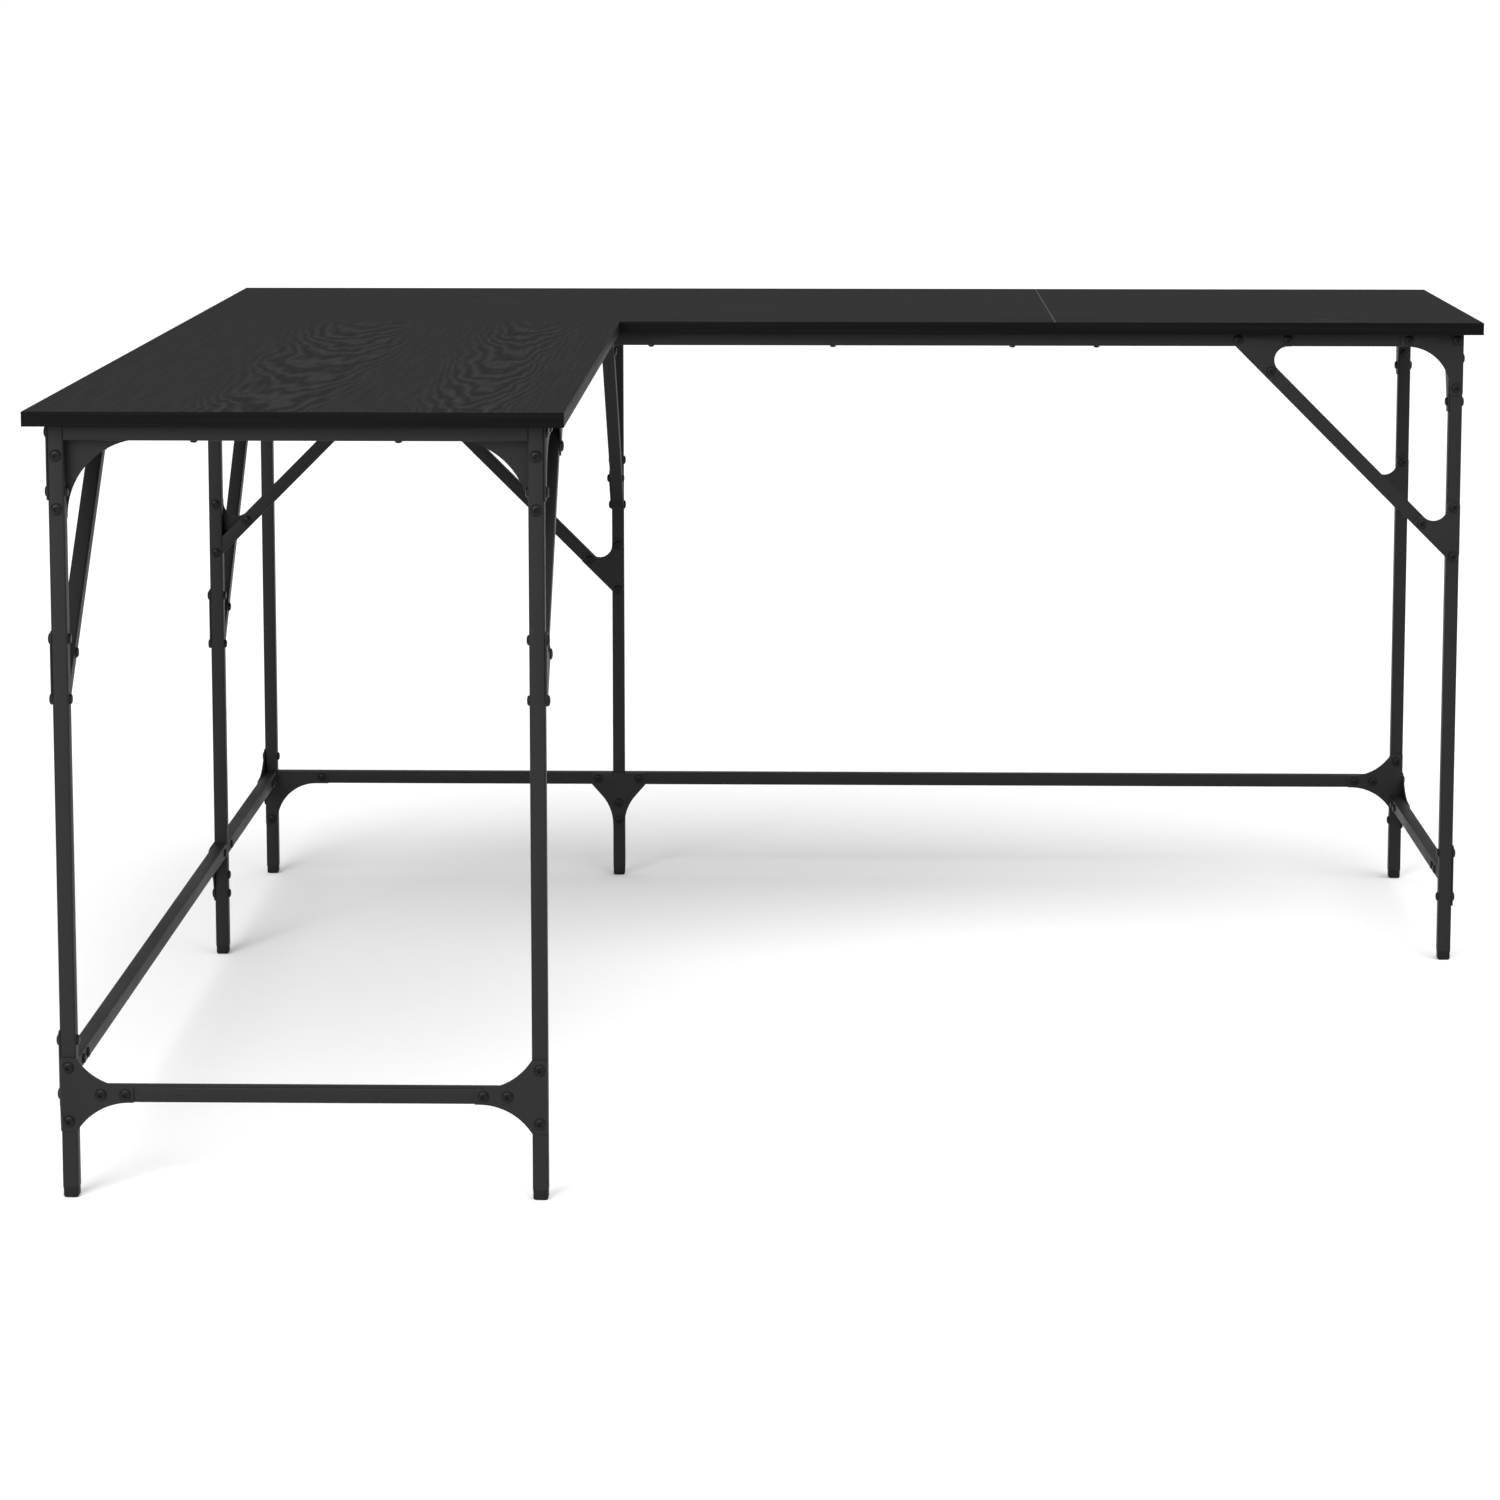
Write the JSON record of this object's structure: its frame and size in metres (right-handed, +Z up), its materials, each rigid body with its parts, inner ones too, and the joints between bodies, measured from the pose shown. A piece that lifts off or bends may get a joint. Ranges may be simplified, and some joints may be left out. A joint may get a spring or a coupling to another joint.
{
  "type": "corner desk",
  "caption": "L-shaped corner desk with a thin dark board top on a slim black square-tube frame with corner plates, diagonal braces and low bars along the outer sides.",
  "frame": {"origin": "on the floor, under the middle of the square that encloses the top", "axes": "+X to the right along the back arm, +Y to the back along the left arm, +Z up; the open inner corner is at +X, -Y"},
  "size_m": [1.49, 1.49, 0.75],
  "materials": {
    "top_board": "black wood-look laminate, fine open grain, satin",
    "dowel_wood": "plain beech, unfinished",
    "tube_steel": "black powder coat, fine texture, semi-matt",
    "plate_steel": "black powder coat on sheet steel, semi-matt",
    "fastener_steel": "black plated steel",
    "foot_plastic": "black plastic, matt"
  },
  "bodies": {
    "root": {"bar_back_left": "tube_steel", "bar_back_right": "tube_steel", "bar_front_end": "tube_steel", "bar_left_back": "tube_steel", "bar_left_front": "tube_steel", "bar_right_end": "tube_steel", "brace_back_middle": "tube_steel", "brace_back_right": "tube_steel", "brace_front_inner": "tube_steel", "brace_front_left": "tube_steel", "brace_large_back": "tube_steel", "brace_large_left": "tube_steel", "brace_left_middle": "tube_steel", "brace_right_front": "tube_steel", "bracket_back_middle": "plate_steel", "bracket_back_right": "plate_steel", "bracket_corner": "plate_steel", "bracket_front_inner": "plate_steel", "bracket_front_left": "plate_steel", "bracket_left_middle": "plate_steel", "bracket_right_front": "plate_steel", "fan_back_right": "plate_steel", "fan_front_inner": "plate_steel", "fan_front_left": "plate_steel", "fan_right_front": "plate_steel", "fans_corner": "plate_steel", "fans_front_end": "plate_steel", "fans_right_end": "plate_steel", "foot_caps": "foot_plastic", "frame_bolts": "fastener_steel", "frame_nuts": "fastener_steel", "gussets_back_middle": "plate_steel", "gussets_back_right": "plate_steel", "gussets_front_inner": "plate_steel", "gussets_front_left": "plate_steel", "gussets_large_back": "plate_steel", "gussets_large_left": "plate_steel", "gussets_left_middle": "plate_steel", "gussets_right_front": "plate_steel", "leg_back_middle": "tube_steel", "leg_back_right": "tube_steel", "leg_corner": "tube_steel", "leg_front_inner": "tube_steel", "leg_front_left": "tube_steel", "leg_left_middle": "tube_steel", "leg_right_front": "tube_steel", "panel_back": "top_board", "panel_front_left": "top_board", "panel_right": "top_board", "rail_back_left": "tube_steel", "rail_back_right": "tube_steel", "rail_front_end": "tube_steel", "rail_inner_back": "tube_steel", "rail_inner_front": "tube_steel", "rail_inner_long": "tube_steel", "rail_left_back": "tube_steel", "rail_left_front": "tube_steel", "rail_right_end": "tube_steel", "seam_dowels": "dowel_wood", "top_screws": "fastener_steel"}
  },
  "joints": []
}
